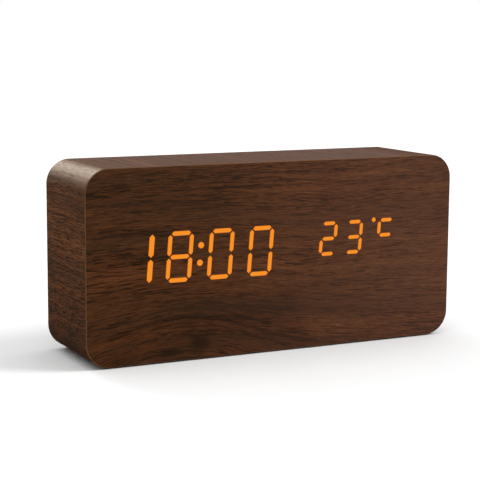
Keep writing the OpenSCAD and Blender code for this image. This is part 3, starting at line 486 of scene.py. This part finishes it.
# the wall of the rear recess is stained dark, to go with the film
stained = mdf.sum("GREATER_THAN", mdf.axes(mdf.place())[1],
                  1000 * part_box("rear_panel")[0].y + 0.2)
mdf_colour = mdf.blend(mdf.sum("MULTIPLY", stained, 0.9), mdf_colour, (0.045, 0.022, 0.012))
mdf.wear(Base_Color=mdf_colour, Roughness=mdf.within(felted, 0.3, 0.7, 0.95, 0.82),
         Specular_IOR_Level=0.2, Normal=mdf.bump(felted, 0.06))
clad(mdf.material, "case_shell", "front_board")


# ---- pads ----
# Four thin die-cut rubber discs, 8 mm across, stuck under the case near its corners. Their
# rims are a little rounded.
def moulded(name, colour, grain=0.02, pitch=0.16, rough=0.5, shine=0.3, fleck=0.25):
    """Moulded plastic or rubber: an eroded grain that is grain deep and pitch wide, in
    millimetres, a colour that is cloudy by the share fleck, and uneven gloss."""
    f = Finish(name)
    erosion = f.noise(f.place([1 / pitch] * 3), detail=2.0, rough=0.6)
    cloud = f.noise(f.place((0.12, 0.12, 0.12), (3.0, 7.0, 1.0)), detail=3.0)
    dark = tuple(c * (1 - fleck) for c in colour)
    light = tuple(min(1.0, c * (1 + fleck)) for c in colour)
    tint = f.ramp(f.sum("ADD", f.sum("MULTIPLY", erosion, 0.45), f.sum("MULTIPLY", cloud, 0.55)),
                  [(0.3, dark), (0.5, colour), (0.7, light)])
    f.wear(Base_Color=tint, Roughness=f.within(cloud, 0.3, 0.7, rough - 0.06, rough + 0.06),
           Specular_IOR_Level=shine, Normal=f.bump(erosion, grain))
    return f.material


def turned(name, finish, radii, levels, spokes, centre, axis):
    """A turned form: point (i, k) is at radius radii[i] round the centre, at spoke k, and at
    levels[i] along the axis. Both ends close on the axis."""
    radii, levels = np.asarray(radii, float), np.asarray(levels, float)
    angle = 2 * np.pi * np.arange(spokes) / spokes
    one, two = np.outer(radii, np.cos(angle)), np.outer(radii, np.sin(angle))
    height = np.repeat(levels[:, None], spokes, 1)
    stack = {"y": (one + centre[0], height, two + centre[1]),
             "x": (height, one + centre[0], two + centre[1]),
             "z": (one + centre[0], two + centre[1], height)}[axis]
    verts = np.stack(stack, -1).reshape(-1, 3)
    k = np.arange(spokes)
    after = (k + 1) % spokes
    i = np.arange(len(radii) - 1)[:, None] * spokes
    quads = np.stack([i + k, i + after, i + spokes + after, i + spokes + k], -1).reshape(-1, 4)
    piece = mesh_piece(name, verts, quads.tolist(), finish)
    bm = bmesh.new()
    bm.from_mesh(piece.data)
    bmesh.ops.remove_doubles(bm, verts=bm.verts, dist=1e-7)
    bmesh.ops.recalc_face_normals(bm, faces=bm.faces)
    bm.to_mesh(piece.data)
    bm.free()
    return piece


def joined(name, pieces):
    """Those pieces as one."""
    for piece in pieces[1:]:
        piece.select_set(True)
    with bpy.context.temp_override(active_object=pieces[0], selected_editable_objects=pieces):
        bpy.ops.object.join()
    pieces[0].name = pieces[0].data.name = name
    return pieces[0]


def rounding(radius, steps=6):
    """How far out and how far up each point lies on a quarter circle of that radius."""
    t = np.radians(np.linspace(0, 90, steps))
    return radius * np.cos(t), radius * np.sin(t)


rubber = moulded("pad_rubber", (0.030, 0.030, 0.031), grain=0.03, pitch=0.25, rough=0.75)
pad_low, pad_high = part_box("base_pads")
pad_r, pad_h, pad_edge = 0.004, pad_high.z, 0.00016
curl_out, curl_up = rounding(pad_edge)
pad_radii = np.concatenate([[0.0, pad_r], pad_r - pad_edge + curl_out, [0.0]])
pad_levels = np.concatenate([[pad_h, pad_h], pad_edge - curl_up, [0.0]])
middles = [(x, y) for x in (pad_low.x + pad_r, pad_high.x - pad_r)
           for y in (pad_low.y + pad_r, pad_high.y - pad_r)]
pads = [turned(f"pad_{i}", rubber, pad_radii, pad_levels, 48, middle, "z")
        for i, middle in enumerate(middles)]
standing_for(joined("rubber_pads", pads), "base_pads", "case")


# ---- rear hardware ----
# Four black cross-head screws hold the rear panel. The cross is pressed, so its edges and the
# head's rim are soft, and the black plating is worn through in places.
def softened(name, piece_name, finish, body, width=0.00012, steps=2):
    """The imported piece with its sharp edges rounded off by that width, as a mould or a press
    leaves them. Edges that turn by less than 32 degrees are left alone."""
    piece = piece_of(merged(name), piece_name, finish)
    piece.data.shade_smooth()
    rounded = piece.modifiers.new("rounded_edges", "BEVEL")
    rounded.width, rounded.segments, rounded.limit_method = width, steps, "ANGLE"
    rounded.angle_limit, rounded.use_clamp_overlap = math.radians(32), True
    rounded.harden_normals = True
    standing_for(piece, name, body)


def plated(name, colour, worn, at, rough=0.34, pitch=3.0):
    """Plated metal: fine scratches, pitch of them to the millimetre, cloudy gloss, and the
    plating worn through between the two values of at."""
    f = Finish(name)
    scratches = f.noise(f.place((pitch, pitch * 0.15, pitch)), detail=3.0, rough=0.7)
    cloud = f.noise(f.place((0.7, 0.7, 0.7), (5.0, 2.0, 8.0)), detail=3.0)
    both = f.sum("ADD", f.sum("MULTIPLY", scratches, 0.4), f.sum("MULTIPLY", cloud, 0.6))
    share = f.within(both, *at)
    f.wear(Base_Color=f.ramp(share, [(0.0, colour), (1.0, worn)]), Metallic=1.0,
           Roughness=f.within(cloud, 0.3, 0.7, rough - 0.07, rough + 0.09),
           Normal=f.bump(scratches, 0.006))
    return f.material


black_screw = plated("black_screw", (0.030, 0.030, 0.032), (0.20, 0.19, 0.18), (0.56, 0.72))
softened("panel_screws", "rear_screws", black_screw, "case", 0.00008)

# Black moulded battery box, let in from inside: its collar shows round the door. The door
# lifts by a sprung latch in a pocket, and has five ridges for the thumb.
box_plastic = moulded("box_plastic", (0.011, 0.011, 0.012), grain=0.035, pitch=0.38, rough=0.60,
                      shine=0.22)
door_plastic = moulded("door_plastic", (0.012, 0.012, 0.013), grain=0.045, pitch=0.42, rough=0.62,
                       shine=0.22, fleck=0.35)
softened("battery_box", "battery_bay", box_plastic, "case", 0.00012)
softened("battery_door", "battery_lid", door_plastic, "battery_door", 0.00015, 3)

# Three push-button caps in smooth black plastic, with a rounded rim and a dished top that
# fits a fingertip, and a thin flange behind the panel. Each bears on its switch's plunger.
cap_plastic = moulded("cap_plastic", (0.010, 0.010, 0.011), grain=0.008, pitch=0.30, rough=0.40,
                      shine=0.35)
for button in ("set", "up", "down"):
    low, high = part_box(button + "_button")
    centre = ((low.x + high.x) / 2, (low.z + high.z) / 2)
    flange_r, rim, dish, chamfer = (high.x - low.x) / 2, 0.00045, 0.0003, 0.0001
    cap_r = flange_r - 0.001
    # the flange is 1 mm thick, and lies 0.3 mm inside the panel
    flange_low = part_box("rear_panel")[0].y - 0.0013
    flange_high = flange_low + 0.001
    curl_out, curl_up = rounding(rim, 7)
    dish_r = (cap_r - rim) * 0.86
    slope = np.linspace(1.0, 0.0, 9)[1:]
    radii = [0.0, cap_r, cap_r, flange_r - chamfer, flange_r, flange_r, flange_r - chamfer, cap_r,
             *(cap_r - rim + curl_out), dish_r, *(dish_r * slope)]
    levels = [low.y, low.y, flange_low, flange_low, flange_low + chamfer, flange_high - chamfer,
              flange_high, flange_high, *(high.y - rim + curl_up), high.y,
              *(high.y - dish * (1 - slope ** 2))]
    cap = turned(button + "_cap", cap_plastic, radii, levels, 64, centre, "y")
    standing_for(cap, button + "_button", button + "_button")


# ---- cells ----
# Three AAA cells with printed steel jackets: a copper-coloured band at the positive end, a
# black body, the jacket crimped over both ends, a pressed nub at one and a flat at the other.
def cell_jacket():
    """Print that follows the share of the way along the cell: black, a thin pale line, the
    copper colour, and bare steel at both ends. It is scuffed in places."""
    f = Finish("cell_jacket")
    share = f.step("Attribute", {}, "Fac", attribute_name="along")
    scuff = f.noise(f.place((0.5, 2.0, 2.0)), detail=4.0, rough=0.7)
    copper = f.sum("GREATER_THAN", share, 0.70)
    pale_line = f.sum("MULTIPLY", f.sum("GREATER_THAN", share, 0.675),
                      f.sum("LESS_THAN", share, 0.688))
    colour = f.blend(copper, (0.018, 0.018, 0.020), (0.50, 0.215, 0.085))
    colour = f.blend(pale_line, colour, (0.62, 0.60, 0.56))
    scuffed = f.sum("MULTIPLY", f.within(scuff, 0.60, 0.72), 0.35)
    colour = f.blend(scuffed, colour, (0.34, 0.30, 0.26))
    ends = f.sum("ADD", f.sum("GREATER_THAN", share, 0.972), f.sum("LESS_THAN", share, 0.012),
                 clamp=True)
    colour = f.blend(ends, colour, (0.62, 0.61, 0.58))
    f.wear(Base_Color=colour, Metallic=f.sum("MULTIPLY_ADD", ends, 0.45, 0.55),
           Roughness=f.within(scuff, 0.3, 0.7, 0.24, 0.40), Normal=f.bump(scuff, 0.008))
    return f.material


def corners(piece):
    """The places of a piece's vertices, one to a row."""
    places = np.empty(3 * len(piece.data.vertices))
    piece.data.vertices.foreach_get("co", places)
    return places.reshape(-1, 3)


jacket = cell_jacket()
crimp, nub_edge, step_in, flat_in, nub_length = 0.0005, 0.0003, 0.0003, 0.00012, 0.0008
end_near = 1e-5
for number in (1, 2, 3):
    name = f"battery_cell_{number}"
    low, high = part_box(name)
    cell_r, length = (high.z - low.z) / 2, high.x - low.x
    middle = (low.y + cell_r, low.z + cell_r)
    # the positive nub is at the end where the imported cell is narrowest
    spots = corners(nodes[name])
    off = np.hypot(spots[:, 1] - middle[0], spots[:, 2] - middle[1])
    right_r = off[spots[:, 0] > high.x - end_near].max()
    left_r = off[spots[:, 0] < low.x + end_near].max()
    nub_right, nub_r = right_r < left_r, min(right_r, left_r)
    curl_out, curl_up = rounding(crimp)
    nub_out, nub_up = rounding(nub_edge, 5)
    # from the flat end's middle out to its crimp, along the jacket, and in to the nub's tip
    radii = np.concatenate([[0.0, 0.6 * cell_r, cell_r - 0.0010, cell_r - 0.0009],
                            cell_r - crimp + curl_out[::-1], cell_r - crimp + curl_out,
                            [cell_r - 0.0012, cell_r - 0.0013, nub_r],
                            nub_r - nub_edge + nub_out, [0.0]])
    shoulder = length - nub_length
    levels = np.concatenate([[flat_in, flat_in, flat_in, 0.0], crimp - curl_up[::-1],
                             shoulder - crimp + curl_up,
                             [shoulder, shoulder - step_in, shoulder - step_in],
                             length - nub_edge + nub_up, [length]])
    levels = low.x + levels if nub_right else high.x - levels
    cell = turned(f"cell_{number}", jacket, radii, levels, 72, middle, "x")
    along = corners(cell)[:, 0]
    along = (along - low.x) / length if nub_right else (high.x - along) / length
    cell.data.attributes.new("along", "FLOAT", "POINT").data.foreach_set("value", along)
    standing_for(cell, name, "case")

# Nickel-plated spring wire and pressed contact plates, standing at the ends of the cells.
nickel = plated("nickel", (0.60, 0.575, 0.52), (0.72, 0.70, 0.66), (0.4, 0.6), rough=0.26)
clad(nickel, "battery_springs")
softened("battery_contacts", "contact_plates", nickel, "case", 0.00005)


# ---- boards ----
# Glass-fibre boards under green solder resist: copper tracks show through it as paler lines,
# the tinned rings of plated holes stand bare, and the cut edges are yellowish.
def circuit(name, resist, track):
    """A board that stands upright across y, in the colour resist, with tracks on both faces:
    level runs in some areas, upright runs in others, and planes of copper between."""
    f = Finish(name)
    x, y, z = f.axes(f.place())
    level_on, upright_on = f.point(x, z, 0.0), f.point(z, x, 0.0)

    def tracks(where, length, shift, pitch=1.27):
        """Parallel lines of copper, broken into runs of about that length."""
        return f.step("TexBrick", {"Vector": where, "Scale": 1.0, "Mortar Size": 0.16,
                                   "Mortar Smooth": 0.1, "Brick Width": length,
                                   "Row Height": pitch}, "Fac", offset=shift, squash=1.0)

    field = f.noise(f.point(x, z, 3.0), scale=0.11, detail=1.0)
    level_runs = f.sum("MULTIPLY", tracks(level_on, 17.0, 0.37), f.within(field, 0.47, 0.50))
    upright_runs = f.sum("MULTIPLY", tracks(upright_on, 13.0, 0.61), f.within(field, 0.46, 0.43))
    plane = f.within(f.noise(f.point(x, z, 8.0), scale=0.05, detail=0.0), 0.54, 0.56)
    copper = f.sum("MAXIMUM", f.sum("MAXIMUM", level_runs, upright_runs),
                   f.sum("MULTIPLY", plane, 0.75))
    spread = f.cells(level_on, scale=0.22)
    via = f.sum("LESS_THAN", spread, 0.085)
    hole = f.sum("LESS_THAN", spread, 0.045)
    weave = f.noise(f.point(f.sum("MULTIPLY", x, 2.2), f.sum("MULTIPLY", z, 2.2), y), detail=2.0)
    base = f.blend(copper, resist, track)
    base = f.blend(f.within(weave, 0.35, 0.65, 0.0, 0.25), base, tuple(c * 0.6 for c in resist))
    base = f.blend(via, base, (0.62, 0.60, 0.55))
    # the middle of each ring is painted near black: painted shade in the open hole
    base = f.blend(hole, base, (0.01, 0.01, 0.01))
    cut = f.sum("LESS_THAN", f.sum("ABSOLUTE", f.facing()[1]), 0.5)
    fibre = f.within(f.noise(f.place((0.3, 9.0, 0.3))), 0.35, 0.65)
    edge = f.ramp(fibre, [(0.0, (0.26, 0.23, 0.11)), (1.0, (0.42, 0.38, 0.20))])
    dullness = f.sum("ADD", f.sum("MULTIPLY", cut, 0.45), f.within(weave, 0.3, 0.7, 0.24, 0.34))
    f.wear(Base_Color=f.blend(cut, base, edge), Metallic=f.sum("MULTIPLY", via, 0.9),
           Roughness=dullness, Specular_IOR_Level=0.5,
           Normal=f.bump(f.sum("ADD", copper, f.sum("MULTIPLY", weave, 0.15)), 0.03))
    return f.material


clad(circuit("green_board", (0.010, 0.095, 0.036), (0.022, 0.175, 0.070)),
     "display_board", "main_board")

# Zinc-plated screws hold the boards. Four turned nylon spacers stand between the main board
# and the panel.
zinc = plated("zinc", (0.50, 0.50, 0.51), (0.64, 0.63, 0.60), (0.42, 0.6), rough=0.30)
softened("display_screws", "display_board_screws", zinc, "case", 0.00007)
softened("board_screws", "main_board_screws", zinc, "case", 0.00007)
nylon = moulded("nylon", (0.70, 0.69, 0.64), grain=0.010, pitch=0.5, rough=0.42, fleck=0.06)
softened("board_spacers", "nylon_spacers", nylon, "case", 0.00015)


# ---- parts on the boards ----
# Transfer-moulded chips with matt tops and shallow, smoother moulding dimples, and legs of
# tinned copper.
chip = Finish("chip_body")
grit = chip.noise(chip.place((9.0, 9.0, 9.0)), detail=2.0)
drift = chip.noise(chip.place((0.3, 0.3, 0.3)), detail=2.0)
dimple = chip.cells(chip.place((1.0, 1.0, 1.0), (0.4, 0.0, 0.3)), scale=0.11)
dimple = chip.within(dimple, 0.06, 0.05)
chip.wear(
    Base_Color=chip.ramp(drift, [(0.3, (0.020, 0.020, 0.022)), (0.7, (0.030, 0.030, 0.031))]),
    Roughness=chip.sum("SUBTRACT", chip.within(grit, 0.3, 0.7, 0.50, 0.62),
                       chip.sum("MULTIPLY", dimple, 0.28)),
    Normal=chip.bump(chip.sum("SUBTRACT", chip.sum("MULTIPLY", grit, 0.15), dimple), 0.06))
softened("display_drivers", "driver_chips", chip.material, "case", 0.00010)
softened("controller", "controller_chip", chip.material, "case", 0.00012)
tin = plated("tinned_legs", (0.58, 0.58, 0.57), (0.70, 0.70, 0.68), (0.4, 0.6), rough=0.28,
             pitch=6.0)
clad(tin, "display_driver_pins", "controller_pins")

# Light-emitting diodes behind the segments: each is a white moulded body with a window of
# yellow phosphor, soldered to the board.
led = Finish("led")
front_on = led.sum("LESS_THAN", led.facing()[1], -0.5)
phosphor = led.noise(led.place((5.0, 5.0, 5.0)), detail=3.0)
lens = led.ramp(phosphor, [(0.3, (0.78, 0.50, 0.10)), (0.7, (0.92, 0.68, 0.22))])
shell = led.ramp(phosphor, [(0.3, (0.70, 0.69, 0.64)), (0.7, (0.80, 0.79, 0.75))])
led.wear(Base_Color=led.blend(front_on, shell, lens),
         Roughness=led.within(phosphor, 0.3, 0.7, 0.22, 0.36), Normal=led.bump(phosphor, 0.02))
clad(led.material, "display_leds")

# Cream nylon sockets for the ribbon; tactile switches with black bodies and bright steel
# frames; their plungers move with the caps.
cream = moulded("socket_nylon", (0.68, 0.63, 0.50), grain=0.012, pitch=0.4, rough=0.45,
                fleck=0.08)
softened("display_socket", "rear_socket", cream, "case", 0.00015)
softened("main_socket", "front_socket", cream, "case", 0.00015)
switch_black = moulded("switch_black", (0.030, 0.030, 0.032), grain=0.010, pitch=0.3,
                       rough=0.45)
softened("switch_bodies", "tact_switches", switch_black, "case", 0.00010)
steel = plated("bright_steel", (0.55, 0.55, 0.55), (0.66, 0.66, 0.65), (0.4, 0.6), rough=0.22)
softened("switch_frames", "switch_plates", steel, "case", 0.00005)
for button in ("set", "up", "down"):
    softened(button + "_plunger", button + "_stem", switch_black, button + "_button",
             0.00012)

# Power jack with its brass pin, buzzer, microphone in a drawn can, thermistor dipped in resin,
# watch crystal, two capacitors in shrunk sleeves, and small fired-ceramic chip parts.
inlet_black = moulded("jack_plastic", (0.026, 0.026, 0.027), grain=0.012, pitch=0.3, rough=0.48)
softened("power_jack", "inlet_jack", inlet_black, "case", 0.00015)
brass = plated("brass_pin", (0.56, 0.42, 0.17), (0.66, 0.54, 0.28), (0.4, 0.62), rough=0.25)
softened("power_jack_pin", "inlet_pin", brass, "case", 0.00010)
buzzer_black = moulded("buzzer_plastic", (0.028, 0.028, 0.030), grain=0.012, pitch=0.35,
                       rough=0.45)
softened("buzzer", "buzzer_can", buzzer_black, "case", 0.00030, 3)
can = plated("drawn_can", (0.62, 0.62, 0.63), (0.74, 0.74, 0.74), (0.38, 0.6), rough=0.24)
softened("microphone", "microphone_can", can, "case", 0.00025, 3)
softened("crystal", "watch_crystal", can, "case", 0.00020, 3)
resin = moulded("dipped_resin", (0.030, 0.040, 0.19), grain=0.02, pitch=0.8, rough=0.22, shine=0.5)
clad(resin, "thermistor")


def sleeve():
    """A dark blue sleeve with a paler stripe down one side and a scored metal end."""
    f = Finish("capacitor_sleeve")
    flat_x, flat_y, _ = f.facing()
    up_face = f.sum("GREATER_THAN", f.sum("ABSOLUTE", flat_y), 0.8)
    stripe = f.sum("GREATER_THAN", flat_x, 0.80)
    film = f.noise(f.place((1.2, 0.5, 1.2)), detail=3.0)
    colour = f.ramp(film, [(0.3, (0.016, 0.022, 0.085)), (0.7, (0.028, 0.036, 0.125))])
    colour = f.blend(f.sum("MULTIPLY", stripe, 0.8), colour, (0.42, 0.44, 0.50))
    colour = f.blend(up_face, colour, (0.62, 0.62, 0.62))
    f.wear(Base_Color=colour, Metallic=up_face, Roughness=f.within(film, 0.3, 0.7, 0.26, 0.40),
           Normal=f.bump(film, 0.03))
    return f.material


softened("capacitors", "sleeved_capacitors", sleeve(), "case", 0.00030, 3)
ceramic = Finish("chip_ceramic")
banding = ceramic.noise(ceramic.place((4.0, 4.0, 4.0)), detail=3.0)
ends = ceramic.step("TexWave", {"Vector": ceramic.place((1.0, 1.0, 1.0)), "Scale": 0.31}, "Fac",
                    bands_direction="X")
tinned_end = ceramic.within(ends, 0.80, 0.86)
fired = ceramic.ramp(banding, [(0.3, (0.24, 0.165, 0.105)), (0.7, (0.36, 0.26, 0.175))])
ceramic.wear(Base_Color=ceramic.blend(tinned_end, fired, (0.62, 0.62, 0.60)),
             Metallic=tinned_end, Roughness=ceramic.within(banding, 0.3, 0.7, 0.35, 0.5),
             Normal=ceramic.bump(banding, 0.02))
clad(ceramic.material, "chip_parts")

# The coin cell that keeps the time: a pressed steel can that sits in a moulded holder on the
# main board.
coin = plated("coin_steel", (0.58, 0.58, 0.57), (0.70, 0.70, 0.69), (0.4, 0.62), rough=0.20,
              pitch=1.6)
softened("memory_cell", "coin_cell", coin, "case", 0.00030, 3)
holder_black = moulded("holder_plastic", (0.034, 0.034, 0.037), grain=0.012, pitch=0.35,
                       rough=0.45)
softened("memory_cell_holder", "coin_holder", holder_black, "case", 0.00015)


# ---- light path ----
# Clear moulded guides fill the windows behind the film. Behind them lie a matt white diffuser
# sheet and two white light boxes with a cell for each segment.
guide = Finish("light_guide")
milk = guide.noise(guide.place((0.8, 0.8, 0.8)), detail=3.0)
guide.wear(Base_Color=guide.ramp(milk, [(0.3, (0.80, 0.76, 0.68)), (0.7, (0.90, 0.87, 0.81))]),
           Roughness=guide.within(milk, 0.3, 0.7, 0.16, 0.30), Subsurface_Weight=0.4,
           Subsurface_Radius=(0.002, 0.0015, 0.001), Subsurface_Scale=0.5,
           Normal=guide.bump(milk, 0.01))
clad(guide.material, "time_light_guides", "temperature_light_guides")
clad(moulded("diffuser", (0.80, 0.80, 0.78), grain=0.02, pitch=0.35, rough=0.75, fleck=0.04),
     "diffuser_sheet")
box_white = moulded("light_box_white", (0.76, 0.76, 0.75), grain=0.012, pitch=0.5, rough=0.36,
                    fleck=0.05)
clad(box_white, "time_light_box", "temperature_light_box")


# ---- wiring ----
# A grey ribbon of eight cores runs between the two boards, and a red and a black lead run
# from the battery box to the main board. All three lie inside the case, from end to end.
ribbon = Finish("ribbon")
# one wave to each core
cores = ribbon.step("TexWave", {"Vector": ribbon.place((1.0, 0.0, 0.0)), "Scale": 0.2546}, "Fac",
                    bands_direction="X")
dust = ribbon.noise(ribbon.place((0.6, 0.6, 0.6)), detail=3.0)
ribbon_grey = ribbon.ramp(dust, [(0.3, (0.27, 0.27, 0.29)), (0.7, (0.36, 0.36, 0.38))])
# the grooves between the cores are painted darker: painted shade
ribbon.wear(Base_Color=ribbon.blend(ribbon.within(cores, 0.25, 0.0, 0.0, 0.5), ribbon_grey,
                                    (0.13, 0.13, 0.14)),
            Roughness=ribbon.within(dust, 0.3, 0.7, 0.42, 0.55), Normal=ribbon.bump(cores, 0.15))
clad(ribbon.material, "display_ribbon")
for lead, lead_colour in (("red", (0.42, 0.020, 0.018)), ("black", (0.024, 0.024, 0.025))):
    clad(moulded("lead_" + lead, lead_colour, grain=0.012, pitch=0.5, rough=0.35, shine=0.5,
                 fleck=0.12), "battery_lead_" + lead)
